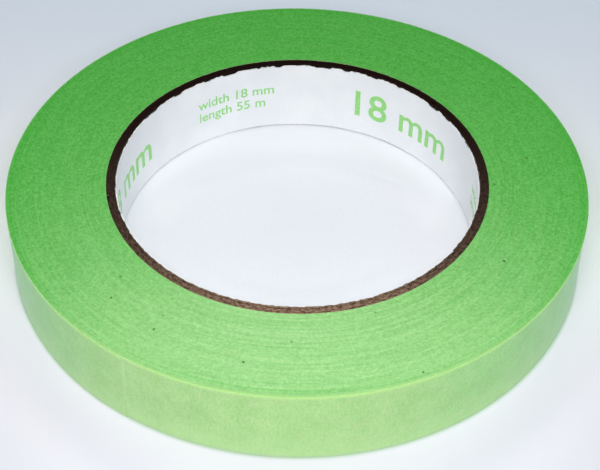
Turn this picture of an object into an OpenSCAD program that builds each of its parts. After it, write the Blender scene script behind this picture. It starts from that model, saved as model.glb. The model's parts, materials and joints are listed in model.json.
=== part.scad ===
// Masking tape roll: crepe paper tape wound on a core of glued paper strips.
// The roll lies flat on the plane z = 0, and the axis of its core is the Z axis.

/* [Tape] */
// Slit width of the tape, and so the height of the roll
tape_w = 18; // [12:1:28]
// Thickness of the tape with its adhesive
tape_t = 0.125; // [0.1:0.001:0.2]
// Length of tape on the roll, in metres
tape_len_m = 54.8; // [20:0.2:66]

/* [Core] */
// Bore of the core
core_bore = 77.8; // [60:0.1:90]
// Thickness of the white paper that lines the bore
liner_t = 0.25; // [0.1:0.01:0.5]
// Thickness of one chipboard ply
ply_t = 0.49; // [0.25:0.01:0.8]
// Width of the paper strips that the core is wound from
strip_w = 110; // [90:1:140]
// Gap left where the edges of a strip meet
seam_gap = 0.4; // [0.2:0.05:1]
// Where the middle of the liner's seam is, in degrees from +X
seam_azimuth = 275; // [0:1:359]
// Turn from the seam of one ply to the seam of the next, in degrees
seam_step = 76; // [30:1:90]

/* [Free end] */
// Where the tape ends, in degrees from +X
end_azimuth = 238; // [0:1:359]
// Length of tape that lifts off the roll
end_len = 27; // [15:1:45]
// Room between the free end and the turn below it
end_clearance = 0.05; // [0.03:0.01:0.2]
// Gap between the links in which the free end curls
link_gap = 0.1; // [0.05:0.01:0.4]

/* [Hidden] */

$fn = 240;
// A cutter passes this far beyond the wall that it cuts
cut_margin = 1;
ply_count = 4;
link_count = 3;
// Points measured along each quarter of the outer turn
gap_points = 12;

tape_green = [0.45, 0.77, 0.4];
board_brown = [0.42, 0.29, 0.25];
liner_white = [0.94, 0.94, 0.95];

liner_r = core_bore / 2;
board_r = liner_r + liner_t;
core_r = board_r + ply_count * ply_t;
// The wound tape fills a ring of the same area as its edge seen from the side
roll_r = sqrt(pow(core_r, 2) + 1000 * tape_len_m * tape_t / PI);

// The outer turn is four quarter arcs. Each has its own centre, on the corners of a square of a quarter of the
// tape's thickness, so the strip climbs by one thickness in a turn and stays smooth.
quarter_rise = tape_t / 4;
function quarter_centre(quarter) =
    quarter_rise / sqrt(2) * [cos(135 + 90 * quarter), sin(135 + 90 * quarter), 0];
function quarter_r(quarter) = roll_r - tape_t - (3 - quarter) * quarter_rise;

// The free end lies in the last quarter, in links of equal length
end_r = quarter_r(3) + end_clearance;
link_deg = end_len / link_count / (end_r + tape_t / 2) * 180 / PI;
link_gap_deg = link_gap / (end_r + tape_t / 2) * 180 / PI;
function quarter_sweep(quarter) = quarter < 3 ? 90 : 90 - link_count * link_deg - link_gap_deg / 2;

// The least gap of the outer turn to itself, between points a quarter turn or more apart
function turn_point(quarter, angle) =
    let (direction = 90 * quarter + angle)
    quarter_centre(quarter) + (quarter_r(quarter) + tape_t / 2) * [cos(direction), sin(direction), 0];
turn_points = [
    for (quarter = [0:3], step = [0:gap_points])
        turn_point(quarter, quarter_sweep(quarter) * step / gap_points)
];
turn_gap = min([
    for (i = [0:len(turn_points) - 1], j = [i + gap_points:1:len(turn_points) - 1])
        norm(turn_points[i] - turn_points[j])
]) - tape_t;
echo(least_gap_of_the_outer_turn_to_itself_mm = turn_gap);

// A stretch of wound tape or of the pack below it, in one quarter of the turn
module wound_arc(quarter, start, sweep, r_in, r_out) {
    translate(quarter_centre(quarter))
        rotate([0, 0, 90 * quarter + start])
            rotate_extrude(angle = sweep)
                translate([r_in, 0])
                    square([r_out - r_in, tape_w]);
}

// A strip of paper wound into a tube: its edges meet along a seam that leans as the strip was wound
module wound_ply(r_in, thickness, azimuth) {
    r_out = r_in + thickness;
    lay = asin(strip_w / (PI * (r_in + r_out)));
    seam_len = tape_w / sin(lay) + 2 * cut_margin;
    difference() {
        cylinder(r = r_out, h = tape_w);
        translate([0, 0, -cut_margin])
            cylinder(r = r_in, h = tape_w + 2 * cut_margin);
        rotate([0, 0, azimuth])
            translate([0, 0, tape_w / 2])
                rotate([90 - lay, 0, 0])
                    translate([0, -seam_gap / 2, -seam_len / 2])
                        cube([r_out + cut_margin, seam_gap, seam_len]);
    }
}

// One chipboard ply, counted from the bore
module board_ply(index) {
    color(board_brown)
        wound_ply(board_r + (index - 1) * ply_t, ply_t, seam_azimuth + index * seam_step);
}

// One link of the free end, counted from the roll. The last one has the cut end of the tape.
module end_link(index) {
    start = 90 - (link_count - index + 1) * link_deg + link_gap_deg / 2;
    stop = 90 - (link_count - index) * link_deg - (index < link_count ? link_gap_deg / 2 : 0);
    color(tape_green)
        rotate([0, 0, end_azimuth])
            wound_arc(3, start, stop - start, end_r, end_r + tape_t);
}

module core_liner() {
    color(liner_white)
        wound_ply(liner_r, liner_t, seam_azimuth);
}

module core_ply_1() {
    board_ply(1);
}

module core_ply_2() {
    board_ply(2);
}

module core_ply_3() {
    board_ply(3);
}

module core_ply_4() {
    board_ply(4);
}

// The turns below the last one, with a step outside where the last turn starts
module tape_pack() {
    color(tape_green)
        difference() {
            rotate([0, 0, end_azimuth])
                for (quarter = [0:3])
                    wound_arc(quarter, 0, 90, core_r - cut_margin, quarter_r(quarter));
            translate([0, 0, -cut_margin])
                cylinder(r = core_r, h = tape_w + 2 * cut_margin);
        }
}

// The last turn, one unbroken strip up to the free end
module outer_turn() {
    color(tape_green)
        rotate([0, 0, end_azimuth])
            for (quarter = [0:3])
                wound_arc(quarter, 0, quarter_sweep(quarter), quarter_r(quarter), quarter_r(quarter) + tape_t);
}

module tape_end_1() {
    end_link(1);
}

module tape_end_2() {
    end_link(2);
}

module tape_end_3() {
    end_link(3);
}

core_liner();
core_ply_1();
core_ply_2();
core_ply_3();
core_ply_4();
tape_pack();
outer_turn();
tape_end_1();
tape_end_2();
tape_end_3();
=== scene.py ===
"""The looks of a masking tape roll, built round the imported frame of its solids.

Lengths are in metres, in the frame of the solids: the axis of the core is Z and the roll lies on z = 0.
"""

import json
import logging
import math
from collections.abc import Callable, Sequence
from dataclasses import dataclass, field
from enum import Enum

import bmesh
import bpy
from mathutils import Matrix, Vector, noise

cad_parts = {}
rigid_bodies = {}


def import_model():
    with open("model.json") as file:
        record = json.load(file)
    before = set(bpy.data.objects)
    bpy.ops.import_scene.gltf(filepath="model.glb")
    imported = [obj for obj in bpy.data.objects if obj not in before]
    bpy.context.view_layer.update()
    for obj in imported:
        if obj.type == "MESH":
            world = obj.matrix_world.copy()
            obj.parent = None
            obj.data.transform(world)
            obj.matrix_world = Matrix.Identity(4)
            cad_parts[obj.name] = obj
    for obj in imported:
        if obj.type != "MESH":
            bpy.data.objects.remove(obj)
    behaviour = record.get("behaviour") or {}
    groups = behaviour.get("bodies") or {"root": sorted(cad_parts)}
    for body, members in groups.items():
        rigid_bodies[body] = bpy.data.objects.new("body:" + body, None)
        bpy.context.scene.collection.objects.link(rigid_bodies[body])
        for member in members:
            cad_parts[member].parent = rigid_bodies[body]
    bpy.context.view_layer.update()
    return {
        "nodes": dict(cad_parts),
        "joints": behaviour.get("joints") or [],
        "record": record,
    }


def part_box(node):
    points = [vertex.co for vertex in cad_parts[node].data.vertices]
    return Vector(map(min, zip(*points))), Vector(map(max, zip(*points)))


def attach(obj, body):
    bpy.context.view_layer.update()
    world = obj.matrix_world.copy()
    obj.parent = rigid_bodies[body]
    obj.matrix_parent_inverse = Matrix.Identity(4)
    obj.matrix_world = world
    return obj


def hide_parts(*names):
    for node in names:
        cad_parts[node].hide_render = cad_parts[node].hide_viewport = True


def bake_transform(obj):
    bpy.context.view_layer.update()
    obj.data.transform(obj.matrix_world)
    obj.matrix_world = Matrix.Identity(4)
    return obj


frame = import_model()

LOG = logging.getLogger("tape_roll")
MM = 0.001
FULL_TURN = 2 * math.pi
# Thickness of the tape with its adhesive
TAPE_T = 0.125 * MM
# How far outside the last turn the hinges of the free end are
HINGE_LIFT = 0.05 * MM
# Vertices closer than this are one vertex
WELD = 1e-7
# Points of the print closer than this are one point
PRINT_WELD = 0.004 * MM
# Edges that bend more than this stay sharp on flat pieces
FLAT_CREASE = math.radians(30)
# How far a strip faces the front where its painted highlight begins, and where it is full
FRONT_SPAN = (0.05, 0.65)
# The UV map of wound tape, in metres along and across the strip
UV_NAME = "strip"
# The layers of the core, from the bore outwards
CORE_NODES = ("core_liner", "core_ply_1", "core_ply_2", "core_ply_3", "core_ply_4")

Colour = tuple[float, float, float, float]
# Azimuth, radius and height of a point on the roll
Place = tuple[float, float, float]
# Where a smooth rise starts and where it ends
Span = tuple[float, float]
# Shares of some patterns in a tone
Shares = tuple[float, ...]
# Scale, detail and roughness of soft noise
Cloud = tuple[float, float, float]


class Slot(Enum):
    """The record's material slots."""

    TAPE = "tape"
    BOARD = "core_board"
    LINER = "liner_paper"


class Side(Enum):
    """The two wound faces of the roll, with the way that each looks along Z."""

    UPPER = 1
    LOWER = -1


class Face(Enum):
    """The sides of wound tape, with the place of each one's finish in a piece's materials."""

    OUTSIDE = 0
    INSIDE = 1
    EDGE = 2


@dataclass(frozen=True)
class Grain:
    """Soft noise on a surface: its features in a unit of each coordinate, its layer and its fineness."""

    u: float
    v: float
    layer: float = 0.0
    detail: float = 3.0
    rough: float = 0.6
    w: float = 1.0


@dataclass(frozen=True)
class Wave:
    """One wave of an uneven edge: its share, its ripples in a unit of each coordinate and its layer."""

    share: float
    u: float
    v: float
    layer: float = 0.0


class Term:
    """One value in a shader, with arithmetic that adds Math nodes."""

    def __init__(self, shader: "Shader", socket: bpy.types.NodeSocket) -> None:
        """Wraps an output socket of one of the shader's nodes."""
        self.shader = shader
        self.socket = socket

    def __add__(self, other: "Value") -> "Term":
        """This value plus another."""
        return self.shader.maths("ADD", self, other)

    def __radd__(self, other: "Value") -> "Term":
        """Another value plus this one."""
        return self.shader.maths("ADD", other, self)

    def __sub__(self, other: "Value") -> "Term":
        """This value less another."""
        return self.shader.maths("SUBTRACT", self, other)

    def __rsub__(self, other: "Value") -> "Term":
        """Another value less this one."""
        return self.shader.maths("SUBTRACT", other, self)

    def __mul__(self, other: "Value") -> "Term":
        """This value times another."""
        return self.shader.maths("MULTIPLY", self, other)

    def __rmul__(self, other: "Value") -> "Term":
        """Another value times this one."""
        return self.shader.maths("MULTIPLY", other, self)

    def __truediv__(self, other: "Value") -> "Term":
        """This value over another."""
        return self.shader.maths("DIVIDE", self, other)


Value = Term | float


class Shader:
    """A material's node tree, built by expressions."""

    def __init__(self, name: str) -> None:
        """Starts an empty material.

        Args:
            name: the material's name.
        """
        self.material = bpy.data.materials.new(name)
        self.material.use_nodes = True
        self.tree = self.material.node_tree
        self.tree.nodes.clear()

    def node(
        self,
        kind: str,
        settings: dict[str, object] | None = None,
        inputs: dict[str | int, object] | None = None,
    ) -> bpy.types.Node:
        """Adds a node.

        Args:
            kind: the node's type, such as ShaderNodeTexNoise.
            settings: attributes of the node, set before its sockets are read.
            inputs: a value or a Term for each named or numbered input.

        Returns:
            The new node.
        """
        made = self.tree.nodes.new(kind)
        for key, value in (settings or {}).items():
            setattr(made, key, value)
        for key, value in (inputs or {}).items():
            if isinstance(value, Term):
                self.tree.links.new(value.socket, made.inputs[key])
            else:
                made.inputs[key].default_value = value
        return made

    def out(self, made: bpy.types.Node, key: str | int = 0) -> Term:
        """One output of a node as a Term."""
        return Term(self, made.outputs[key])

    def maths(self, operation: str, *values: Value) -> Term:
        """A Math node on one to three values."""
        return self.out(self.node("ShaderNodeMath", {"operation": operation}, dict(enumerate(values))))

    def between(self, value: Value, low: float, high: float) -> Term:
        """A smooth rise from 0 at low to 1 at high."""
        made = self.node(
            "ShaderNodeMapRange",
            {"interpolation_type": "SMOOTHSTEP"},
            {"Value": value, "From Min": low, "From Max": high},
        )
        return self.out(made)

    def mix(
        self,
        factor: Value,
        first: Term | Colour,
        second: Term | Colour,
        blend: str = "MIX",
    ) -> Term:
        """Two colours mixed.

        Args:
            factor: how much of the second, from 0 to 1.
            first: the first colour.
            second: the second colour.
            blend: how the second is laid on the first.

        Returns:
            The colour.
        """
        settings = {"data_type": "RGBA", "blend_type": blend}
        return self.out(self.node("ShaderNodeMix", settings, {0: factor, 6: first, 7: second}), 2)

    def point(self, x: Value, y: Value, z: Value = 0.0) -> Term:
        """Three values as a vector."""
        return self.out(self.node("ShaderNodeCombineXYZ", None, {0: x, 1: y, 2: z}))

    def parts(self, vector: Term) -> tuple[Term, Term, Term]:
        """A vector's three values."""
        made = self.node("ShaderNodeSeparateXYZ", None, {0: vector})
        return self.out(made, 0), self.out(made, 1), self.out(made, 2)

    def place(self) -> Term:
        """The point on the piece, in millimetres of the roll's frame.

        Returns:
            The point.
        """
        where = self.out(self.node("ShaderNodeTexCoord"), "Object")
        made = self.node("ShaderNodeVectorMath", {"operation": "SCALE"}, {0: where, "Scale": 1 / MM})
        return self.out(made)

    def strip_place(self) -> tuple[Term, Term]:
        """Millimetres along and across a strip, from its own UV map."""
        along, across, _ = self.parts(self.out(self.node("ShaderNodeUVMap", {"uv_map": UV_NAME})))
        return along * (1 / MM), across * (1 / MM)

    def cloud(self, vector: Term, scale: float, detail: float, rough: float) -> Term:
        """Soft noise about 0.5, with features of about 1 / scale."""
        made = self.node(
            "ShaderNodeTexNoise",
            {"noise_dimensions": "3D"},
            {"Vector": vector, "Scale": scale, "Detail": detail, "Roughness": rough},
        )
        return self.out(made)

    def grain(self, kind: Grain, u: Term, v: Term, w: Value = 0.0) -> Term:
        """Soft noise about 0.5 that follows a surface.

        Args:
            kind: the noise.
            u: the surface's first coordinate.
            v: its second.
            w: its third, where it has one.

        Returns:
            The noise.
        """
        where = self.point(u * kind.u, v * kind.v, w * kind.w + kind.layer)
        return self.cloud(where, 1.0, kind.detail, kind.rough)

    def bump(self, height: Term, depth: float, under: Term | None = None) -> Term:
        """A bumped normal.

        Args:
            height: the relief, about 0 to 1.
            depth: what a height of 1 is, in metres.
            under: a normal that this one is laid over.

        Returns:
            The normal.
        """
        inputs: dict[str | int, object] = {"Height": height, "Distance": depth, "Strength": 1.0}
        if under is not None:
            inputs["Normal"] = under
        return self.out(self.node("ShaderNodeBump", None, inputs))

    def body(self, changing: dict[str, Term], fixed: dict[str, object]) -> Term:
        """A Principled shader.

        Args:
            changing: inputs that vary over the surface.
            fixed: inputs that are the same all over, set on the shader's own sockets.

        Returns:
            The shader.
        """
        return self.out(self.node("ShaderNodeBsdfPrincipled", None, {**fixed, **changing}))

    def patched(self, factor: Term, first: Term, second: Term) -> Term:
        """Two shaders in patches, the second where the factor is 1."""
        return self.out(self.node("ShaderNodeMixShader", None, {0: factor, 1: first, 2: second}))

    def surface(self, body: Term) -> bpy.types.Material:
        """Ends the material in that shader."""
        self.node("ShaderNodeOutputMaterial", None, {"Surface": body})
        return self.material


@dataclass(frozen=True)
class RollSizes:
    """The sizes of the roll, read from the frame."""

    width: float
    bore_r: float
    layer_radii: tuple[float, ...]
    roll_r: float
    end_azimuth: float
    hinges: tuple[Vector, ...]

    @property
    def core_r(self) -> float:
        """Outer radius of the core, where the tape starts."""
        return self.layer_radii[-1]

    @property
    def pack_r(self) -> float:
        """Radius of the turns below the last one, where the last one ends."""
        return self.roll_r - TAPE_T

    @property
    def turns(self) -> int:
        """Turns of tape below the last one."""
        return round((self.pack_r - self.core_r) / TAPE_T)

    @property
    def pitch(self) -> float:
        """How much each of those turns adds to the radius."""
        return (self.pack_r - self.core_r) / self.turns

    def turn_angle(self, azimuth: float) -> float:
        """The angle from the start of the last turn to an azimuth, from 0 to a full turn."""
        return (azimuth - self.end_azimuth) % FULL_TURN

    def turn_r(self, angle: float) -> float:
        """Outer radius of the last turn, at an angle from its start."""
        return self.roll_r - TAPE_T + TAPE_T * angle / FULL_TURN

    @property
    def hinge_angles(self) -> list[float]:
        """The angles of the free end's hinges from the start of the last turn."""
        return [self.turn_angle(math.atan2(h.y, h.x)) for h in self.hinges]

    @classmethod
    def from_frame(cls) -> "RollSizes":
        """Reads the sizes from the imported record, nodes and joints.

        Returns:
            The sizes.
        """
        bore = next(m for m in frame["record"]["mounts"] if m["name"] == "core_bore")
        low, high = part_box("tape_pack")
        hinges = tuple(Vector(j["pos_m"]) for j in frame["joints"])
        azimuths = [math.atan2(h.y, h.x) for h in hinges]
        return cls(
            width=high.z - low.z,
            bore_r=bore["dims"]["r_mm"] * MM,
            layer_radii=tuple(outer_radius(n) for n in CORE_NODES),
            roll_r=sum(h.xy.length for h in hinges) / len(hinges) - HINGE_LIFT,
            end_azimuth=azimuths[-1] + (azimuths[-1] - azimuths[0]) / (len(azimuths) - 1),
            hinges=hinges,
        )


def outer_radius(node: str) -> float:
    """The largest distance of a node's mesh from the axis of the core."""
    return max(v.co.xy.length for v in frame["nodes"][node].data.vertices)


def ripple(x: float, y: float, seed: float) -> float:
    """Smooth noise from about -1 to 1, with features of about one unit."""
    return noise.noise(Vector((x, y, seed)))


def waved(waves: Sequence[Wave], x: float, y: float, seed: float) -> float:
    """The sum of some waves at a point."""
    return sum(w.share * ripple(x * w.u, y * w.v, seed + w.layer) for w in waves)


def swept(profile: Sequence[tuple[float, float]], sweep: float, steps: int) -> bmesh.types.BMesh:
    """Draws a closed outline out along a straight run, ready to be wrapped round the core.

    Args:
        profile: radius and height of each corner, in order.
        sweep: the angle that the run will be wrapped through.
        steps: the number of steps in it.

    Returns:
        The mesh, open at both ends, with angle, radius and height as the coordinates of its vertices.
    """
    bm = bmesh.new()
    corners = [bm.verts.new((0.0, r, z)) for r, z in profile]
    sides = [bm.edges.new(pair) for pair in zip(corners, corners[1:] + corners[:1])]
    made = bmesh.ops.extrude_edge_only(bm, edges=sides)
    far = [g for g in made["geom"] if isinstance(g, bmesh.types.BMVert)]
    bmesh.ops.translate(bm, verts=far, vec=(sweep, 0, 0))
    runs = [e for e in bm.edges if abs(e.verts[0].co.x - e.verts[1].co.x) > WELD]
    bmesh.ops.subdivide_edges(bm, edges=runs, cuts=steps - 1)
    return bm


def wrap(bm: bmesh.types.BMesh, shape: Callable[[float, float, float], Place]) -> None:
    """Wraps a swept mesh round the axis of the core.

    Args:
        bm: the mesh, as swept() leaves it.
        shape: takes a vertex's angle, radius and height and gives its place on the roll.
    """
    for v in bm.verts:
        azimuth, r, z = shape(*v.co)
        v.co = (r * math.cos(azimuth), r * math.sin(azimuth), z)


def close_ends(bm: bmesh.types.BMesh) -> None:
    """Welds a wrapped mesh, fills what is open and turns its faces outwards.

    Args:
        bm: the mesh.
    """
    bmesh.ops.remove_doubles(bm, verts=bm.verts[:], dist=WELD)
    bmesh.ops.holes_fill(bm, edges=[e for e in bm.edges if e.is_boundary], sides=0)
    bmesh.ops.recalc_face_normals(bm, faces=bm.faces[:])


def piece(
    name: str,
    bm: bmesh.types.BMesh,
    materials: Sequence[bpy.types.Material],
    crease: float,
) -> bpy.types.Object:
    """Makes an object of a finished mesh.

    Args:
        name: the piece's name.
        bm: its mesh, which is freed.
        materials: its materials, in the order of the faces' material_index.
        crease: edges that bend more than this, in radians, stay sharp.

    Returns:
        The object, at the origin.
    """
    mesh = bpy.data.meshes.new(name)
    for f in bm.faces:
        f.smooth = True
    bm.to_mesh(mesh)
    bm.free()
    mesh.set_sharp_from_angle(angle=crease)
    for m in materials:
        mesh.materials.append(m)
    made = bpy.data.objects.new(name, mesh)
    bpy.context.scene.collection.objects.link(made)
    LOG.info("%s: %d faces", name, len(mesh.polygons))
    return made


def facing(sh: Shader, sizes: RollSizes, along: Term, turned: float = 0.0) -> Term:
    """How far a strip faces the front of the roll, from -1 behind it to 1.

    Args:
        sh: the shader.
        sizes: the sizes of the roll.
        along: millimetres along the strip.
        turned: an angle by which the front is turned.

    Returns:
        The value.
    """
    return sh.maths("SINE", along * (MM / sizes.roll_r) + (sizes.end_azimuth + turned)) * -1.0


@dataclass(frozen=True)
class WoundEdgeFinish:
    """The wound faces: the cut edges of the tape, turn upon turn."""

    deep: Colour = (0.035, 0.357, 0.024, 1)
    pale: Colour = (0.092, 0.531, 0.067, 1)
    rim_highlight: Colour = (0.230, 0.510, 0.130, 1)
    groove: Colour = (0.020, 0.200, 0.014, 1)
    speck: Colour = (0.012, 0.035, 0.012, 1)
    rough: float = 0.25
    gloss: float = 0.46
    coat: float = 0.48
    grain: Cloud = (1.8, 2.0, 0.6)
    grain_depth: float = 0.001 * MM
    grain_rough: float = 0.10
    grain_coat: float = 1.5
    bands: Grain = Grain(0.30, 18.0)
    bands_coat: float = 1.05
    lanes: Grain = Grain(0.18, 8.0, 21.0, 1.0, 0.5)
    lanes_coat: float = 0.9
    # Shares of the bands, of each single turn and of the grain in the tone
    tone_shares: Shares = (0.23, 0.09, 0.74)
    tone_span: Span = (0.29, 0.81)
    groove_share: float = 0.25
    # The painted highlight along the outer edge: millimetres in from it, and how far it is to the front
    # of the roll
    rim_highlight_span: Span = (-0.2, 1.3)
    rim_highlight_front: Span = (0.5, 1.05)
    # Dust: one bit at most in a cell of this many millimetres, and its size and chance in that cell
    speck_cell: float = 8.5
    speck_size: Span = (0.014, 0.042)
    speck_least: float = 0.5
    speck_spread: float = 0.7
    speck_chance: Span = (0.72, 0.74)
    speck_share: float = 0.8
    speck_rough: float = 0.6

    def material(self, sizes: RollSizes) -> bpy.types.Material:
        """Builds the material for a roll of these sizes.

        Args:
            sizes: the sizes of the roll.

        Returns:
            The material.
        """
        sh = Shader("wound_edge")
        where = sh.place()
        x, y, _ = sh.parts(where)
        radius = sh.maths("SQRT", x * x + y * y)
        azimuth = sh.maths("ARCTAN2", y, x) - sizes.end_azimuth
        # Whole turns are added, so that a fraction is never taken of a negative number
        share = sh.maths("FRACT", azimuth * (1 / FULL_TURN) + 2.0)
        turn = (radius - sizes.core_r / MM) * (MM / sizes.pitch) - share
        within = sh.maths("FRACT", turn + 4.0)
        number = sh.maths("FLOOR", turn)
        per_turn = sh.out(sh.node("ShaderNodeTexWhiteNoise", {"noise_dimensions": "1D"}, {"W": number}))
        bands = sh.grain(self.bands, turn + share, share)
        lanes = sh.grain(self.lanes, turn, share)
        grain = sh.cloud(where, *self.grain)
        by_band, by_turn, by_grain = self.tone_shares
        tone = sh.between(bands * by_band + per_turn * by_turn + grain * by_grain, *self.tone_span)
        colour = sh.mix(tone, self.deep, self.pale)
        groove = sh.between(sh.maths("ABSOLUTE", within - 0.5), 0.0, 0.5)
        colour = sh.mix(groove * self.groove_share, colour, self.groove)
        # Painted highlight: a paler band along the outer edge of the wound face, on the front of the roll
        # only
        rim_highlight_mask = 1.0 - sh.between(sizes.roll_r / MM - radius, *self.rim_highlight_span)
        colour = sh.mix(rim_highlight_mask * sh.between(y / radius * -1.0, *self.rim_highlight_front), colour, self.rim_highlight)
        dust = self.specks(sh, x, y)
        colour = sh.mix(dust, colour, self.speck)
        rough = self.rough + (grain - 0.5) * self.grain_rough + dust * self.speck_rough
        coat = self.coat + (grain - 0.5) * self.grain_coat
        coat = coat + (bands - 0.5) * self.bands_coat + (lanes - 0.5) * self.lanes_coat
        changing = {
            "Base Color": colour,
            "Roughness": rough,
            "Coat Weight": coat * (1.0 - dust),
            "Normal": sh.bump(grain, self.grain_depth),
        }
        fixed = {"Specular IOR Level": self.gloss, "Coat Roughness": self.rough}
        return sh.surface(sh.body(changing, fixed))

    def specks(self, sh: Shader, x: Term, y: Term) -> Term:
        """Where a few bits of dark dust lie, from 0 to 1.

        Args:
            sh: the shader.
            x: millimetres to the right of the axis of the core.
            y: millimetres behind it.

        Returns:
            The value.
        """
        made = sh.node(
            "ShaderNodeTexVoronoi",
            {"voronoi_dimensions": "2D"},
            {"Vector": sh.point(x, y), "Scale": 1 / self.speck_cell},
        )
        chance, size, _ = sh.parts(sh.out(made, "Color"))
        reach = size * self.speck_spread + self.speck_least
        inside = 1.0 - sh.between(sh.out(made, "Distance") / reach, *self.speck_size)
        return inside * sh.between(chance, *self.speck_chance) * self.speck_share


@dataclass(frozen=True)
class CutEdgeFinish:
    """The edges of the last turn: bare paper, where light shows through, with a painted highlight that
    makes them paler at the front of the roll.
    """

    base: Colour = (0.320, 0.680, 0.150, 1)
    pale: Colour = (0.420, 0.760, 0.220, 1)
    plain_edge: Colour = (0.075, 0.450, 0.050, 1)
    rough: float = 0.5
    fibres: Grain = Grain(1.3, 2.0)
    fibres_span: Span = (0.35, 0.65)
    fibres_rough: float = 0.2

    def material(self, sizes: RollSizes) -> bpy.types.Material:
        """Builds the material for a roll of these sizes.

        Args:
            sizes: the sizes of the roll.

        Returns:
            The material.
        """
        sh = Shader("cut_edge")
        along, across = sh.strip_place()
        fibres = sh.grain(self.fibres, along, across)
        colour = sh.mix(sh.between(fibres, *self.fibres_span), self.base, self.pale)
        # Painted highlight: the pale colours show at the front of the roll, the plain edge colour
        # elsewhere
        front = sh.between(facing(sh, sizes, along), *FRONT_SPAN)
        colour = sh.mix(front, self.plain_edge, colour)
        rough = self.rough + (fibres - 0.5) * self.fibres_rough
        return sh.surface(sh.body({"Base Color": colour, "Roughness": rough}, {}))


@dataclass(frozen=True)
class CrepeFinish:
    """The coated outside of the tape: crepe paper, creased across its length."""

    deep: Colour = (0.311, 0.592, 0.195, 1)
    pale: Colour = (0.477, 0.748, 0.317, 1)
    blush: Colour = (0.540, 0.670, 0.360, 1)
    rim_highlight: Colour = (0.505, 0.820, 0.285, 1)
    painted_bounce_band: Colour = (0.540, 0.810, 0.380, 1)
    painted_shade_band: Colour = (0.480, 0.640, 0.420, 1)
    frayed: Colour = (0.600, 0.800, 0.450, 1)
    painted_limb_tint: Colour = (0.850, 1.020, 0.940, 1)
    fuzz: Colour = (0.150, 0.850, 1.000, 1)
    rough: float = 0.32
    gloss: float = 0.2
    fuzz_weight: float = 0.08
    fuzz_rough: float = 0.35
    creases: Grain = Grain(1.5, 0.55)
    creases_depth: float = 0.03 * MM
    fibres: Grain = Grain(2.6, 2.0, 5.0)
    fibres_depth: float = 0.012 * MM
    fibres_rough: float = 0.2
    clouds: Grain = Grain(0.22, 0.17, 9.0, rough=0.55)
    # Shares of the creases, the fibres and the clouds in the tone
    tone_shares: Shares = (0.28, 0.56, 0.32)
    tone_span: Span = (0.36, 0.80)
    blots: Grain = Grain(0.7, 0.5, 15.0)
    blots_span: Span = (0.48, 0.70)
    blots_share: float = 0.35
    # Millimetres up from the lower edge: painted bounce light, painted shade, and the upper part
    foot_width: float = 9.0
    foot_share: float = 0.4
    shade_band_span: Span = (0.1, 0.9)
    shade_band_share: float = 0.7
    upper_span: Span = (-6.0, 16.0)
    # Painted light, less red, where the outside turns away from the front, which is a little to one side
    aside_turn: float = 0.12
    aside_span: Span = (0.70, 0.95)
    rim_highlight_width: float = 1.1
    # A painted highlight at the cut end, and at the start of the last turn that it lies against
    end_width: float = 0.40
    end_share: float = 0.5
    start_rate: float = 0.4

    def material(self, sizes: RollSizes) -> bpy.types.Material:
        """Builds the material for a roll of these sizes.

        Args:
            sizes: the sizes of the roll.

        Returns:
            The material.
        """
        sh = Shader("crepe_face")
        along, across = sh.strip_place()
        creases = sh.grain(self.creases, along, across)
        fibres = sh.grain(self.fibres, along, across)
        clouds = sh.grain(self.clouds, along, across)
        by_crease, by_fibre, by_cloud = self.tone_shares
        tone = sh.between(creases * by_crease + fibres * by_fibre + clouds * by_cloud, *self.tone_span)
        colour = sh.mix(tone, self.deep, self.pale)
        blots = sh.between(sh.grain(self.blots, along, across), *self.blots_span)
        colour = sh.mix(blots * self.blots_share, colour, self.blush)
        # Painted light: paler towards the lower edge, for light bounced from the floor
        painted_bounce_band = 1.0 - sh.between(across, 0.0, self.foot_width)
        colour = sh.mix(painted_bounce_band * self.foot_share, colour, self.painted_bounce_band)
        # Painted shade: a thin darker band along the lower edge, where the strip meets the floor
        shade_band = 1.0 - sh.between(across, *self.shade_band_span)
        colour = sh.mix(shade_band * self.shade_band_share, colour, self.painted_shade_band)
        upper = sh.between(across, *self.upper_span)
        # Painted light: less red where the outside turns away from the front, most on its upper part
        painted_limb_tint = 1.0 - sh.between(facing(sh, sizes, along, self.aside_turn), *self.aside_span)
        colour = sh.mix(painted_limb_tint * upper, colour, self.painted_limb_tint, "MULTIPLY")
        # Painted highlight: a paler band along the top edge, on the front of the roll only
        front = sh.between(facing(sh, sizes, along), *FRONT_SPAN)
        rim_highlight_mask = 1.0 - sh.between(sizes.width / MM - across, 0.0, self.rim_highlight_width)
        colour = sh.mix(rim_highlight_mask * front, colour, self.rim_highlight)
        # Painted highlight: a paler band across the cut end and the start of the last turn
        from_end = FULL_TURN * sizes.roll_r / MM - along
        nearest = sh.maths("MINIMUM", from_end, along * self.start_rate)
        frayed = 1.0 - sh.between(nearest, 0.0, self.end_width)
        colour = sh.mix(frayed * upper * self.end_share, colour, self.frayed)
        normal = sh.bump(creases, self.creases_depth)
        changing = {
            "Base Color": colour,
            "Roughness": self.rough + (fibres - 0.5) * self.fibres_rough,
            "Normal": sh.bump(fibres, self.fibres_depth, normal),
        }
        fixed = {
            "Specular IOR Level": self.gloss,
            "Sheen Weight": self.fuzz_weight,
            "Sheen Roughness": self.fuzz_rough,
            "Sheen Tint": self.fuzz,
        }
        return sh.surface(sh.body(changing, fixed))


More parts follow.
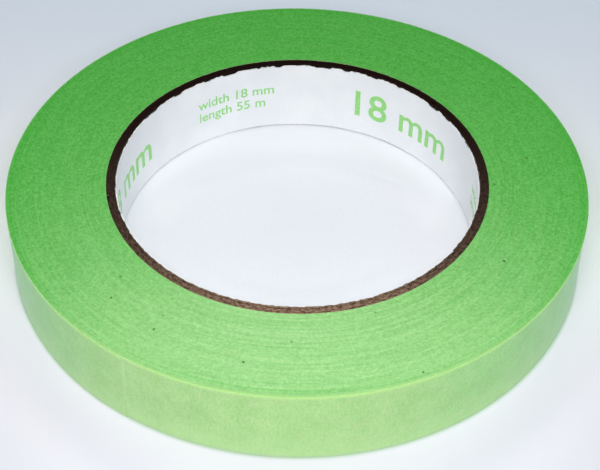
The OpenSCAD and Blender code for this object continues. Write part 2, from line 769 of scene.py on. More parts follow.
@dataclass(frozen=True)
class AdhesiveFinish:
    """The sticky inside of the tape, seen where the free end is lifted."""

    base: Colour = (0.38, 0.60, 0.26, 1)
    thin: Colour = (0.50, 0.68, 0.34, 1)
    rough: float = 0.24
    streaks: Grain = Grain(0.25, 1.8, rough=0.5)
    streaks_share: float = 0.5
    grain: Grain = Grain(2.4, 1.2, 3.0)
    grain_share: float = 0.5
    grain_depth: float = 0.03 * MM
    grain_rough: float = 0.2
    tone_span: Span = (0.35, 0.65)

    def material(self) -> bpy.types.Material:
        """Builds the material.

        Returns:
            The material.
        """
        sh = Shader("adhesive")
        along, across = sh.strip_place()
        streaks = sh.grain(self.streaks, along, across)
        grain = sh.grain(self.grain, along, across)
        tone = sh.between(streaks * self.streaks_share + grain * self.grain_share, *self.tone_span)
        changing = {
            "Base Color": sh.mix(tone, self.base, self.thin),
            "Roughness": self.rough + grain * self.grain_rough,
            "Normal": sh.bump(grain, self.grain_depth),
        }
        return sh.surface(sh.body(changing, {}))


@dataclass(frozen=True)
class BoardFinish:
    """Brown chipboard, cut across: felted fibres that the knife left shiny in patches."""

    dark: Colour = (0.0008, 0.0005, 0.0004, 1)
    light: Colour = (0.0045, 0.002, 0.0016, 1)
    sheen: Colour = (0.64, 0.42, 0.32, 1)
    rough: float = 0.178
    gloss: float = 1.0
    dull_sheen: Colour = (1.0, 0.16, 0.10, 1)
    dull_rough: float = 0.28
    dull_gloss: float = 0.10
    # A radius in the wall, in millimetres, at which the pattern has its true length
    wall_r: float = 40.0
    fibres: Grain = Grain(1.5, 3.0, 0.0, 4.0, 0.7, 3.0)
    fibres_span: Span = (0.40, 0.66)
    fibres_depth: float = 0.002 * MM
    fibres_rough: float = 0.08
    patches: Grain = Grain(1.1, 1.9, 7.0)
    # Shares of the patches and the fibres in what is dull
    dull_shares: Shares = (0.5, 0.5)
    dull_span: Span = (0.44, 0.58)
    dull_most: float = 0.75
    # The far side of the core is dull nearly all over
    behind_span: Span = (-0.3, 0.5)
    behind_most: float = 0.9

    def material(self) -> bpy.types.Material:
        """Builds the material.

        Returns:
            The material.
        """
        sh = Shader("chipboard")
        x, y, z = sh.parts(sh.place())
        radius = sh.maths("SQRT", x * x + y * y)
        arc = sh.maths("ARCTAN2", y, x) * self.wall_r
        fibres = sh.grain(self.fibres, arc, radius, z)
        patches = sh.grain(self.patches, arc, radius, z)
        colour = sh.mix(sh.between(fibres, *self.fibres_span), self.dark, self.light)
        changing = {
            "Base Color": colour,
            "Roughness": self.rough + (fibres - 0.5) * self.fibres_rough,
            "Normal": sh.bump(fibres, self.fibres_depth),
        }
        shiny = sh.body(changing, {"Specular IOR Level": self.gloss, "Specular Tint": self.sheen})
        fixed = {
            "Roughness": self.dull_rough,
            "Specular IOR Level": self.dull_gloss,
            "Specular Tint": self.dull_sheen,
        }
        dull = sh.body({"Base Color": colour}, fixed)
        by_patch, by_fibre = self.dull_shares
        patchy = sh.between(patches * by_patch + fibres * by_fibre, *self.dull_span)
        behind = sh.between(y / radius, *self.behind_span)
        dulled = sh.maths("MAXIMUM", patchy * self.dull_most, behind * self.behind_most)
        return sh.surface(sh.patched(dulled, shiny, dull))


@dataclass(frozen=True)
class LinerFinish:
    """White coated paper inside the core, a little scuffed towards its edges."""

    white: Colour = (0.862, 0.872, 0.892, 1)
    shade: Colour = (0.813, 0.828, 0.857, 1)
    torn: Colour = (0.42, 0.33, 0.29, 1)
    rough: float = 0.45
    pulp: Cloud = (1.6, 4.0, 0.65)
    pulp_depth: float = 0.015 * MM
    pulp_rough: float = 0.15
    clouds: Cloud = (0.12, 2.0, 0.5)
    # Shares of the pulp and the clouds in the tone
    tone_shares: Shares = (0.4, 0.7)
    tone_span: Span = (0.42, 0.72)
    scuffs: Grain = Grain(1.2, 3.0, detail=4.0, rough=0.7)
    scuffs_span: Span = (0.5, 0.62)
    # Millimetres in from either edge of the paper
    worn_width: float = 0.7
    worn_share: float = 0.7

    def material(self, sizes: RollSizes) -> bpy.types.Material:
        """Builds the material for a core of these sizes.

        Args:
            sizes: the sizes of the roll.

        Returns:
            The material.
        """
        sh = Shader("liner_paper")
        where = sh.place()
        x, y, z = sh.parts(where)
        arc = sh.maths("ARCTAN2", y, x) * (sizes.bore_r / MM)
        pulp = sh.cloud(where, *self.pulp)
        by_pulp, by_cloud = self.tone_shares
        tone = sh.between(pulp * by_pulp + sh.cloud(where, *self.clouds) * by_cloud, *self.tone_span)
        colour = sh.mix(tone, self.shade, self.white)
        middle = sizes.width / MM / 2
        from_edge = middle - sh.maths("ABSOLUTE", z - middle)
        scuffs = sh.between(sh.grain(self.scuffs, arc, z), *self.scuffs_span)
        worn = (1.0 - sh.between(from_edge, 0.0, self.worn_width)) * scuffs
        changing = {
            "Base Color": sh.mix(worn * self.worn_share, colour, self.torn),
            "Roughness": self.rough + (pulp - 0.5) * self.pulp_rough,
            "Normal": sh.bump(pulp, self.pulp_depth),
        }
        return sh.surface(sh.body(changing, {}))


@dataclass(frozen=True)
class InkFinish:
    """Green ink, a little thin in places."""

    full: Colour = (0.25, 0.66, 0.16, 1)
    thin: Colour = (0.38, 0.74, 0.28, 1)
    rough: float = 0.4
    cover: Cloud = (3.0, 3.0, 0.6)
    cover_span: Span = (0.4, 0.65)
    cover_rough: float = 0.2

    def material(self) -> bpy.types.Material:
        """Builds the material.

        Returns:
            The material.
        """
        sh = Shader("core_ink")
        cover = sh.cloud(sh.place(), *self.cover)
        colour = sh.mix(sh.between(cover, *self.cover_span), self.full, self.thin)
        rough = self.rough + (cover - 0.5) * self.cover_rough
        return sh.surface(sh.body({"Base Color": colour, "Roughness": rough}, {}))


@dataclass(frozen=True)
class FloorFinish:
    """A pale cloth, painted paler round the roll to cancel its shade, with a painted shadow where it
    meets the roll and painted shade far behind.
    """

    base: Colour = (0.745, 0.742, 0.818, 1)
    fold: Colour = (0.773, 0.771, 0.848, 1)
    inside: Colour = (0.885, 0.885, 0.930, 1)
    painted_light_beside: Colour = (0.880, 0.825, 0.955, 1)
    behind: Colour = (0.920, 0.945, 1.000, 1)
    painted_contact_shadow: Colour = (0.500, 0.640, 0.520, 1)
    away: Colour = (0.707, 0.697, 0.775, 1)
    away_behind: Colour = (0.735, 0.745, 0.850, 1)
    painted_bore_light: Colour = (1.115, 1.120, 1.140, 1)
    far: Colour = (0.676, 0.748, 0.892, 1)
    rough: float = 0.75
    rough_clouds: Cloud = (0.3, 2.0, 0.5)
    rough_spread: float = 0.1
    folds: Cloud = (0.02, 2.0, 0.5)
    threads: Cloud = (1.6, 2.0, 0.5)
    # Shares of the folds and the threads in the tone
    tone_shares: Shares = (0.4, 0.6)
    tone_span: Span = (0.35, 0.65)
    # Inside the bore, in millimetres from its edge: painted light makes the cloth paler where the roll
    # shades it.
    # Behind, that is as far as the shadow of the roll's back, which ends at the bore's circle moved
    # forwards
    inside_span: Span = (-14.5, 2.0)
    inside_across: float = 0.25
    inside_near: float = 0.15
    shadow_len: float = 14.2
    shadow_edge: Span = (-1.5, 1.5)
    shadow_back: Span = (-5.0, 8.0)
    shadow_side: Span = (16.0, 28.0)
    lift_lean: float = 0.7
    lift_span: Span = (-10.0, -1.0)
    # Where the painted light and shade on the cloth turn from front to back colours, in millimetres
    # behind the axis of the core
    beside_span: Span = (-50.0, 10.0)
    away_span: Span = (-20.0, 40.0)
    far_span: Span = (30.0, 125.0)
    # Millimetres out from the outside of the roll
    away_width: float = 25.0
    contact_span: Span = (-0.1, 0.7)
    contact_share: float = 0.8

    def material(self, sizes: RollSizes) -> bpy.types.Material:
        """Builds the material, with painted light that makes it a little lighter round a roll of these
        sizes.

        Args:
            sizes: the sizes of the roll.

        Returns:
            The material.
        """
        sh = Shader("pale_floor")
        where = sh.place()
        x, y, _ = sh.parts(where)
        radius = sh.maths("SQRT", x * x + y * y)
        roll_r = sizes.roll_r / MM
        by_fold, by_thread = self.tone_shares
        tone = sh.cloud(where, *self.folds) * by_fold + sh.cloud(where, *self.threads) * by_thread
        colour = sh.mix(sh.between(tone, *self.tone_span), self.base, self.fold)
        colour = self.in_bore(sh, colour, x, y, sizes.bore_r / MM)
        # Painted light: paler cloth close round the outside of the roll, cancelling its shade
        under = sh.between(radius, sizes.bore_r / MM, roll_r)
        painted_light_beside = sh.mix(sh.between(y, *self.beside_span), self.painted_light_beside, self.behind)
        colour = sh.mix(under, colour, painted_light_beside)
        # Painted light and shade: the open cloth is paler and bluer behind the roll than in front
        away = sh.mix(sh.between(y, *self.away_span), self.away, self.away_behind)
        colour = sh.mix(sh.between(radius, roll_r, roll_r + self.away_width), colour, away)
        # Painted shadow: a thin dark greenish ring where the cloth meets the roll
        low, high = self.contact_span
        touching = under * (1.0 - sh.between(radius, roll_r + low, roll_r + high))
        colour = sh.mix(touching * self.contact_share, colour, self.painted_contact_shadow)
        # Painted shade: the cloth turns less red and bluer far behind
        colour = sh.mix(sh.between(y, *self.far_span), colour, self.far)
        rough = sh.cloud(where, *self.rough_clouds) * self.rough_spread + self.rough
        return sh.surface(sh.body({"Base Color": colour, "Roughness": rough}, {}))

    def in_bore(self, sh: Shader, colour: Term, x: Term, y: Term, bore_r: float) -> Term:
        """The cloth's colour with what shows through the bore, painted paler where the roll shades it.

        Args:
            sh: the shader.
            colour: the plain cloth.
            x: millimetres to the right of the axis of the core.
            y: millimetres behind it.
            bore_r: radius of the bore, in millimetres.

        Returns:
            The colour.
        """
        radius = sh.maths("SQRT", x * x + y * y)
        back = y + self.shadow_len
        moved = sh.maths("SQRT", x * x + back * back)
        shaded = sh.between(moved, bore_r + self.shadow_edge[0], bore_r + self.shadow_edge[1])
        shaded = sh.maths("MAXIMUM", shaded, 1.0 - sh.between(y, *self.shadow_back))
        shaded = sh.maths("MAXIMUM", shaded, sh.between(sh.maths("ABSOLUTE", x), *self.shadow_side))
        outwards = radius + sh.maths("ABSOLUTE", y) * self.inside_across
        outwards = outwards - sh.maths("MINIMUM", y, 0.0) * self.inside_near
        pale = sh.between(outwards, bore_r + self.inside_span[0], bore_r + self.inside_span[1])
        # Painted light: the paler inside colour where the roll shades the cloth
        colour = sh.mix(pale * shaded, colour, self.inside)
        # Painted light: brighter still towards the edge of the bore, most at the front
        leaning = radius - y * self.lift_lean
        lifted = sh.between(leaning, bore_r + self.lift_span[0], bore_r + self.lift_span[1])
        return sh.mix(lifted, colour, self.painted_bore_light, "MULTIPLY")


@dataclass
class TapeWinding:
    """The wound tape: the pack of turns, the last turn and the free end."""

    sizes: RollSizes
    pack_steps: int = 180
    crepe_step: float = 0.36 * MM
    crepe_rows: int = 20
    crepe_depth: float = 0.014 * MM
    edge_drop: float = 0.005 * MM
    rim_drop: float = 0.055 * MM
    rim_band: float = 2.6 * MM
    end_lift: float = 0.015 * MM
    # The wander of the wound edges, in turns, and how low they lie on the whole, as a share of edge_drop
    edge_waves: tuple[Wave, ...] = (Wave(0.5, 0.16, 0.0), Wave(0.3, 0.83, 4.0), Wave(0.10, 4.7, 9.0))
    edge_mean: float = 0.45
    edge_seed: float = 7.3
    rim_power: float = 1.6
    # The creases of the crepe, in millimetres along and across
    crepe_waves: tuple[Wave, ...] = (Wave(1.0, 1.1, 0.3, 2.0), Wave(0.6, 2.3, 0.8, 6.0))
    least_steps: int = 8
    pack_crease: float = math.radians(70)
    strip_crease: float = math.radians(50)
    wound: WoundEdgeFinish = field(default_factory=WoundEdgeFinish)
    crepe: CrepeFinish = field(default_factory=CrepeFinish)
    adhesive: AdhesiveFinish = field(default_factory=AdhesiveFinish)
    cut: CutEdgeFinish = field(default_factory=CutEdgeFinish)

    def __post_init__(self) -> None:
        """Builds the finishes that the pieces share."""
        faces = self.crepe.material(self.sizes), self.adhesive.material()
        self.strip_materials = *faces, self.cut.material(self.sizes)
        self.pack_materials = *faces, self.wound.material(self.sizes)

    def drop(self, turn: float, side: Side) -> float:
        """How far the tape's edge lies below the roll's face, some turns out from the core.

        Args:
            turn: the number of turns.
            side: the face.

        Returns:
            The depth.
        """
        s = self.sizes
        wander = waved(self.edge_waves, turn, 1.0, side.value * self.edge_seed)
        outwards = s.core_r + s.pitch * turn - (s.pack_r - self.rim_band)
        slump = self.rim_drop * max(0.0, outwards / self.rim_band) ** self.rim_power
        return self.edge_drop * min(1.0, max(0.0, self.edge_mean + wander)) + slump

    def pack(self) -> bpy.types.Object:
        """Builds the turns below the last one, as one spiral with a step at its end.

        Returns:
            The pack.
        """
        s = self.sizes
        radii = [s.core_r + s.pitch * i for i in range(-1, s.turns)]
        profile = [(r, 0.0) for r in radii] + [(r, s.width) for r in reversed(radii)]
        bm = swept(profile, FULL_TURN, self.pack_steps)

        def wind(angle: float, r: float, z: float) -> Place:
            """The first ring stays on the core, and the others climb by one pitch in the turn.

            Args:
                angle: the angle from the start of the turn.
                r: the radius of the ring.
                z: the height.

            Returns:
                The place on the roll.
            """
            ring = round((r - s.core_r) / s.pitch)
            turn = 0.0 if ring < 0 else ring + angle / FULL_TURN
            side = Side.UPPER if z > s.width / 2 else Side.LOWER
            height = z - side.value * self.drop(turn, side)
            return s.end_azimuth + angle, s.core_r + s.pitch * turn, height

        wrap(bm, wind)
        close_ends(bm)
        self.dress_strip(bm)
        return piece("wound_pack", bm, self.pack_materials, self.pack_crease)

    def strip(self, name: str, start: float, stop: float) -> bpy.types.Object:
        """Builds a stretch of the last turn, between two angles from its start.

        Args:
            name: the piece's name.
            start: the first angle.
            stop: the second angle.

        Returns:
            The stretch.
        """
        s = self.sizes
        sweep = stop - start
        steps = max(self.least_steps, round(sweep * s.roll_r / self.crepe_step))
        rows = [s.width * i / self.crepe_rows for i in range(self.crepe_rows + 1)]
        inside = s.roll_r - TAPE_T
        middle = s.roll_r - TAPE_T / 2
        profile = [(inside, 0.0), (inside, s.width)] + [(s.roll_r, z) for z in reversed(rows)]
        bm = swept(profile, sweep, steps)
        lift_from = s.hinge_angles[0]

        def lay(angle: float, r: float, z: float) -> Place:
            """The strip lies on the pack, and its outside has the creases of the crepe.

            Args:
                angle: the angle from the start of the stretch.
                r: the radius.
                z: the height.

            Returns:
                The place on the roll.
            """
            turn = start + angle
            lifted = max(0.0, (turn - lift_from) / (FULL_TURN - lift_from))
            outside = s.turn_r(turn) + self.end_lift * lifted
            if r < middle:
                return s.end_azimuth + turn, outside - TAPE_T, z
            crease = waved(self.crepe_waves, turn * s.roll_r / MM, z / MM, 0.0)
            return s.end_azimuth + turn, outside + self.crepe_depth * crease, z

        wrap(bm, lay)
        close_ends(bm)
        self.dress_strip(bm)
        return piece(name, bm, self.strip_materials, self.strip_crease)

    def dress_strip(self, bm: bmesh.types.BMesh) -> None:
        """Gives wound tape its UV map, in metres along and across, and each face its finish.

        Args:
            bm: the tape's mesh.
        """
        s = self.sizes
        uv = bm.loops.layers.uv.new(UV_NAME)
        for f in bm.faces:
            turns = [s.turn_angle(math.atan2(v.co.y, v.co.x)) for v in f.verts]
            if max(turns) - min(turns) > math.pi:
                turns = [t if t > math.pi else t + FULL_TURN for t in turns]
            radial = f.normal.xy.dot(f.calc_center_median().xy.normalized())
            face = Face.INSIDE if radial < -0.5 else Face.OUTSIDE
            f.material_index = (Face.EDGE if abs(f.normal.z) > 0.5 else face).value
            for loop, turn in zip(f.loops, turns):
                loop[uv].uv = (turn * s.roll_r, loop.vert.co.z)

    def build(self) -> None:
        """Builds the pieces, and sets the pack and the last turn on the roll."""
        pack = self.pack()
        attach(pack, "roll")
        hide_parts("tape_pack")
        turn = self.strip("last_turn", 0.0, self.sizes.hinge_angles[0])
        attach(turn, "roll")
        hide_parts("outer_turn")
        self.free_end()

    def free_end(self) -> None:
        """Builds the free end in stretches of half a link, cut at each hinge."""
        hinges = self.sizes.hinge_angles
        half = (FULL_TURN - hinges[-1]) / 2
        for i, joint in enumerate(frame["joints"]):
            before, after = hinges[i] - half, hinges[i] + half
            last = i == len(hinges) - 1
            stretches = [(hinges[i], FULL_TURN if last else after, joint["child"])]
            if i > 0:
                stretches.append((before, hinges[i], joint["parent"]))
            for start, stop, node in stretches:
                form = "bend" if node == joint["child"] else "run"
                made = self.strip(f"{node}_{form}", start, stop)
                self.outside(before)
                self.outside(after)
                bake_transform(made)
                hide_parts(node)

    def outside(self, turn: float) -> Vector:
        """The point half-way up the outside of the roll, at an angle from the start of the last turn.

        Args:
            turn: the angle.

        Returns:
            The point.
        """
        s = self.sizes
        azimuth = s.end_azimuth + turn
        return Vector((math.cos(azimuth) * s.roll_r, math.sin(azimuth) * s.roll_r, s.width / 2))


@dataclass
class SpiralCore:
    """The core: a printed white liner and four brown board plies, each a strip wound on the slant."""

    sizes: RollSizes
    strip_w: float = 110 * MM
    seam_gap: float = 0.4 * MM
    seam_azimuth: float = math.radians(275)
    seam_step: float = math.radians(76)
    arc_step: float = 0.28 * MM
    edge_rows: float = 0.9 * MM
    liner_chip: float = 0.70 * MM
    board_chip: float = 0.07 * MM
    board_fray: float = 0.18 * MM
    # How much further the knife tore out each board ply, as a share of its chips
    board_steps: tuple[float, ...] = (0.3, 1.2, 0.0, 0.6)
    board_mean: float = 0.7
    # What is ragged, in millimetres: the board's fray and loss, and the liner's teeth and bites
    fray_waves: tuple[Wave, ...] = (Wave(1.0, 1.3, 1.3), Wave(0.6, 3.0, 3.0, 5.0))
    board_waves: tuple[Wave, ...] = (Wave(0.12, 0.5, 0.5),)
    teeth_waves: tuple[Wave, ...] = (Wave(1.0, 1.2, 1.2), Wave(0.6, 2.7, 2.7, 5.0))
    bite_waves: tuple[Wave, ...] = (Wave(1.0, 0.22, 0.22, 2.0), Wave(0.4, 0.9, 0.9, 8.0))
    foot_waves: tuple[Wave, ...] = (Wave(0.16, 0.22, 0.22, 2.0),)
    # How far apart the noise of the two faces and of two layers is
    fray_seeds: tuple[float, float] = (2.3, 13.0)
    loss_seeds: tuple[float, float] = (3.7, 11.0)
    # Shares of the liner's chips: the mean and the teeth of its two edges, the least loss and a bite
    foot_mean: float = 0.32
    foot_teeth: float = 0.03
    top_mean: float = 0.30
    top_teeth: float = 0.22
    least_chip: float = 0.1
    bite: float = 0.55
    bite_steep: float = 6.0
    crease: float = math.radians(45)
    board: BoardFinish = field(default_factory=BoardFinish)
    liner: LinerFinish = field(default_factory=LinerFinish)

    def wound_ply(self, name: str, layer: int, material: bpy.types.Material) -> bpy.types.Object:
        """Builds one ply, cut along the seam where the edges of its strip meet.

        Args:
            name: the piece's name.
            layer: 0 for the liner, then each board ply outwards.
            material: its finish.

        Returns:
            The ply.
        """
        s = self.sizes
        r_in, r_out = self.radii(layer)
        rows = [0.0, self.edge_rows, s.width - self.edge_rows, s.width]
        profile = [(r_in, z) for z in rows] + [(r_out, z) for z in reversed(rows)]
        bm = swept(profile, FULL_TURN, round(FULL_TURN * r_out / self.arc_step))

        def chip(angle: float, r: float, z: float) -> Place:
            """The cut edges are ragged: both sides of the ply lose as much, and board frays.

            Args:
                angle: the azimuth.
                r: the radius.
                z: the height.

            Returns:
                The place on the roll.
            """
            if WELD < z < s.width - WELD:
                return angle, r, z
            side = Side.UPPER if z > s.width / 2 else Side.LOWER
            frayed = r + self.fray(layer if r > (r_in + r_out) / 2 else layer - 1, angle, side)
            return angle, frayed if layer else r, z - side.value * self.edge_loss(layer, angle, side)

        wrap(bm, chip)
        bmesh.ops.remove_doubles(bm, verts=bm.verts[:], dist=WELD)
        self.cut_seam(bm, layer)
        close_ends(bm)
        return piece(name, bm, [material], self.crease)

    def radii(self, layer: int) -> tuple[float, float]:
        """Inner and outer radius of a ply, with 0 for the liner."""
        s = self.sizes
        return s.layer_radii[layer - 1] if layer else s.bore_r, s.layer_radii[layer]

    def cut_seam(self, bm: bmesh.types.BMesh, layer: int) -> None:
        """Takes the gap of a ply's seam out of a mesh, leaning at the angle of the lay.

        Args:
            bm: the mesh of the ply, or of what lies on it.
            layer: 0 for the liner, then each board ply outwards.
        """
        lay = math.asin(self.strip_w / (math.pi * sum(self.radii(layer))))
        azimuth = self.seam_azimuth + layer * self.seam_step
        outwards = Vector((math.cos(azimuth), math.sin(azimuth), 0.0))
        onwards = Vector((-math.sin(azimuth), math.cos(azimuth), 0.0))
        across = onwards * math.sin(lay) + Vector((0.0, 0.0, math.cos(lay)))
        middle = Vector((0.0, 0.0, self.sizes.width / 2))
        for side in (-0.5, 0.5):
            near = [f for f in bm.faces if f.calc_center_median().dot(outwards) > 0]
            around = list({e for f in near for e in f.edges}) + list({v for f in near for v in f.verts})
            place = middle + across * (side * self.seam_gap)
            bmesh.ops.bisect_plane(bm, geom=near + around, dist=WELD, plane_co=place, plane_no=across)
        gone = []
        for f in bm.faces:
            centre = f.calc_center_median()
            if centre.dot(outwards) > 0 and abs((centre - middle).dot(across)) < self.seam_gap / 2:
                gone.append(f)
        bmesh.ops.delete(bm, geom=gone, context="FACES")

    def fray(self, bound: int, azimuth: float, side: Side) -> float:
        """How far the edge between two layers is pushed outwards, with 0 for the one round the liner.

        Args:
            bound: the number of the edge.
            azimuth: where on the edge.
            side: the face that it shows on.

        Returns:
            The distance.
        """
        r = self.sizes.bore_r / MM
        seed = side.value * self.fray_seeds[0] + bound * self.fray_seeds[1]
        x, y = r * math.cos(azimuth), r * math.sin(azimuth)
        return self.board_fray * waved(self.fray_waves, x, y, seed)

    def edge_loss(self, layer: int, azimuth: float, side: Side) -> float:
        """How much of a ply the knife took: a little of the board, and teeth and bites of the liner.

        Args:
            layer: 0 for the liner, then each board ply outwards.
            azimuth: where on the ply.
            side: the face that was cut.

        Returns:
            The depth.
        """
        r = self.sizes.bore_r / MM
        x, y = r * math.cos(azimuth), r * math.sin(azimuth)
        seed = side.value * self.loss_seeds[0] + layer * self.loss_seeds[1]
        if layer:
            wander = waved(self.board_waves, x, y, seed)
            return self.board_chip * max(0.0, self.board_mean + wander + self.board_steps[layer - 1])
        teeth = waved(self.teeth_waves, x, y, seed)
        if side is Side.LOWER:
            loss = self.foot_mean + waved(self.foot_waves, x, y, seed) + self.foot_teeth * teeth
            return self.liner_chip * max(self.least_chip, loss)
        bitten = min(1.0, max(0.0, self.bite_steep * waved(self.bite_waves, x, y, seed)))
        loss = self.top_mean + self.top_teeth * teeth + self.bite * bitten
        return self.liner_chip * min(1.0, max(self.least_chip, loss))

    def build(self) -> None:
        """Builds the plies and sets them on the roll."""
        board = self.board.material()
        liner = self.liner.material(self.sizes)
        for layer, node in enumerate(CORE_NODES):
            if layer == 0:
                ply = self.wound_ply("printed_liner", layer, liner)
            else:
                ply = self.wound_ply(f"board_ply_{layer}", layer, board)
            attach(ply, "roll")
            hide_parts(node)


@dataclass(frozen=True)
class Legend:
    """One block of print: its words, their height and weight, and where it is."""

    words: str
    letter_h: float
    weight: float
    azimuth: float


@dataclass
class SizePrint:
    """The size of the tape, printed on the liner again and again."""

    sizes: RollSizes
    core: SpiralCore
    legends: tuple[Legend, ...] = (
        Legend("18 mm", 10.4 * MM, 0.12 * MM, math.radians(50)),
        Legend("width 18 mm\nlength 55 m", 3.6 * MM, 0.04 * MM, math.radians(113)),
    )
    repeats: int = 3
    proud: float = 0.02 * MM
    slice_w: float = 0.8 * MM
    ink: InkFinish = field(default_factory=InkFinish)

    def flat_legend(self, legend: Legend) -> bmesh.types.BMesh:
        """A legend as a flat mesh, centred on the origin, in X and Y.

        Args:
            legend: the legend.

        Returns:
            The mesh.
        """
        curve = bpy.data.curves.new("legend", "FONT")
        curve.body = legend.words
        curve.size = legend.letter_h
        curve.offset = legend.weight
        words = bpy.data.objects.new("legend", curve)
        bpy.context.scene.collection.objects.link(words)
        graph = bpy.context.evaluated_depsgraph_get()
        flat = bpy.data.meshes.new_from_object(words.evaluated_get(graph))
        bm = bmesh.new()
        bm.from_mesh(flat)
        bpy.data.objects.remove(words)
        bpy.data.curves.remove(curve)
        bpy.data.meshes.remove(flat)
        low = Vector((min(v.co.x for v in bm.verts), min(v.co.y for v in bm.verts), 0.0))
        high = Vector((max(v.co.x for v in bm.verts), max(v.co.y for v in bm.verts), 0.0))
        bmesh.ops.translate(bm, verts=bm.verts[:], vec=-(low + high) / 2)
        return bm

    def roll_up(self, bm: bmesh.types.BMesh, azimuth: float) -> None:
        """Lays a flat legend on the bore, with its thickness inwards.

        Args:
            bm: the legend's mesh.
            azimuth: where its middle goes.
        """
        for v in bm.verts:
            angle = azimuth - v.co.x / self.sizes.bore_r
            r = self.sizes.bore_r - v.co.z
            v.co = (r * math.cos(angle), r * math.sin(angle), self.sizes.width / 2 + v.co.y)

    def unroll(self, bm: bmesh.types.BMesh, azimuth: float) -> None:
        """Lays a legend of no thickness flat again.

        Args:
            bm: the legend's mesh.
            azimuth: where its middle is.
        """
        for v in bm.verts:
            angle = (azimuth - math.atan2(v.co.y, v.co.x) + math.pi) % FULL_TURN - math.pi
            v.co = (angle * self.sizes.bore_r, v.co.z - self.sizes.width / 2, 0.0)

    def wrapped(self, legend: Legend, azimuth: float) -> bmesh.types.BMesh:
        """A legend laid on the bore, as thin as ink and parted where it crosses the liner's seam.

        Args:
            legend: the legend.
            azimuth: where its middle goes.

        Returns:
            The mesh.
        """
        bm = self.flat_legend(legend)
        reach = max(v.co.x for v in bm.verts)
        cut = -reach + self.slice_w
        while cut < reach:
            bmesh.ops.bisect_plane(
                bm,
                geom=bm.verts[:] + bm.edges[:] + bm.faces[:],
                dist=PRINT_WELD,
                plane_co=(cut, 0, 0),
                plane_no=(1, 0, 0),
            )
            cut += self.slice_w
        self.roll_up(bm, azimuth)
        self.core.cut_seam(bm, 0)
        self.unroll(bm, azimuth)
        bmesh.ops.remove_doubles(bm, verts=bm.verts[:], dist=PRINT_WELD)
        bmesh.ops.dissolve_degenerate(bm, edges=bm.edges[:], dist=PRINT_WELD)
        made = bmesh.ops.extrude_face_region(bm, geom=bm.faces[:])
        raised = [g for g in made["geom"] if isinstance(g, bmesh.types.BMVert)]
        bmesh.ops.translate(bm, verts=raised, vec=(0, 0, self.proud))
        bmesh.ops.recalc_face_normals(bm, faces=bm.faces[:])
        self.roll_up(bm, azimuth)
        return bm

    def build(self) -> None:
        """Builds the legends and sets them on the roll."""
        material = self.ink.material()
        for i in range(self.repeats):
            for j, legend in enumerate(self.legends):
                bm = self.wrapped(legend, legend.azimuth + i * FULL_TURN / self.repeats)
                made = piece(f"size_print_{i + 1}_{j + 1}", bm, [material], FLAT_CREASE)
                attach(made, "roll")


@dataclass(frozen=True)
class Lamp:
    """A soft oval lamp."""

    name: str
    place: tuple[float, float, float]
    wide: float
    deep: float
    power: float
    colour: tuple[float, float, float]


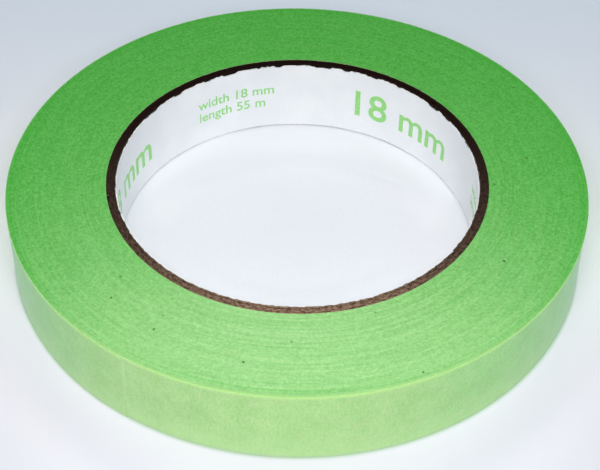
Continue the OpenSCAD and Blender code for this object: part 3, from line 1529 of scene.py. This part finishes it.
@dataclass
class Studio:
    """The camera of the photograph, a pale floor and soft lamps."""

    sizes: RollSizes
    # The camera, as fitted to the edges of the roll: its angles are in radians
    image_w: int = 600
    focal_px: float = 1412.19
    camera_back: float = 228.95 * MM
    camera_up: float = 218.89 * MM
    yaw: float = 0.00310
    pitch: float = 0.76310
    roll: float = 0.01740
    clip_start: float = 0.01
    floor_size: float = 6.0
    # The floor lies this far below the roll
    floor_drop: float = 0.02 * MM
    sky: Colour = (0.93, 0.96, 1.0, 1)
    sky_strength: float = 0.15
    lamps: tuple[Lamp, ...] = (
        Lamp("strip_lamp", (0.003, 0.91, 1.155), 0.775, 0.20, 4.25, (1.0, 0.92, 0.75)),
        Lamp("front_lamp", (0.0, -0.27, 0.28), 0.25, 0.14, 1.13, (1.0, 1.0, 1.0)),
        Lamp("left_lamp", (-0.45, 0.10, 0.58), 0.40, 0.40, 0.86, (0.90, 1.0, 0.97)),
        Lamp("right_lamp", (0.45, 0.10, 0.58), 0.40, 0.40, 0.88, (0.77, 0.99, 0.97)),
    )
    floor: FloorFinish = field(default_factory=FloorFinish)

    def camera(self) -> None:
        """Sets the camera where the photograph was taken."""
        data = bpy.data.cameras.new("camera")
        data.sensor_fit = "HORIZONTAL"
        data.lens = self.focal_px / self.image_w * data.sensor_width
        data.clip_start = self.clip_start
        ahead = Vector(
            (
                math.sin(self.yaw) * math.cos(self.pitch),
                math.cos(self.yaw) * math.cos(self.pitch),
                -math.sin(self.pitch),
            )
        )
        right = Vector((math.cos(self.yaw), -math.sin(self.yaw), 0.0))
        up = right.cross(ahead)
        turned = right * math.cos(self.roll) + up * math.sin(self.roll)
        upright = up * math.cos(self.roll) - right * math.sin(self.roll)
        made = bpy.data.objects.new("camera", data)
        made.matrix_world = Matrix(
            (
                (turned.x, upright.x, -ahead.x, 0.0),
                (turned.y, upright.y, -ahead.y, -self.camera_back),
                (turned.z, upright.z, -ahead.z, self.camera_up),
                (0.0, 0.0, 0.0, 1.0),
            )
        )
        bpy.context.scene.collection.objects.link(made)
        bpy.context.scene.camera = made

    def lamp(self, lamp: Lamp) -> None:
        """Adds an area lamp that looks at the roll.

        Args:
            lamp: the lamp.
        """
        data = bpy.data.lights.new(lamp.name, "AREA")
        data.shape = "ELLIPSE"
        data.size = lamp.wide
        data.size_y = lamp.deep
        data.energy = lamp.power
        data.color = lamp.colour
        made = bpy.data.objects.new(lamp.name, data)
        made.location = lamp.place
        made.rotation_euler = (-Vector(lamp.place)).to_track_quat("-Z", "Y").to_euler()
        bpy.context.scene.collection.objects.link(made)

    def build(self) -> None:
        """Builds the studio."""
        scene = bpy.context.scene
        scene.view_settings.view_transform = "Standard"
        self.camera()
        world = bpy.data.worlds.new("studio")
        world.use_nodes = True
        back = world.node_tree.nodes["Background"]
        back.inputs["Color"].default_value = self.sky
        back.inputs["Strength"].default_value = self.sky_strength
        scene.world = world
        for lamp in self.lamps:
            self.lamp(lamp)
        bm = bmesh.new()
        bmesh.ops.create_grid(bm, x_segments=4, y_segments=4, size=self.floor_size / 2)
        bmesh.ops.translate(bm, verts=bm.verts[:], vec=(0, 0, -self.floor_drop))
        floor = piece("floor", bm, [self.floor.material(self.sizes)], FLAT_CREASE)


def main() -> None:
    """Builds the studio, the core, its print and the tape, in that order."""
    logging.basicConfig(level=logging.INFO, format="%(message)s")
    sizes = RollSizes.from_frame()
    Studio(sizes).build()
    core = SpiralCore(sizes)
    core.build()
    SizePrint(sizes, core).build()
    TapeWinding(sizes).build()


if __name__ == "__main__":
    main()
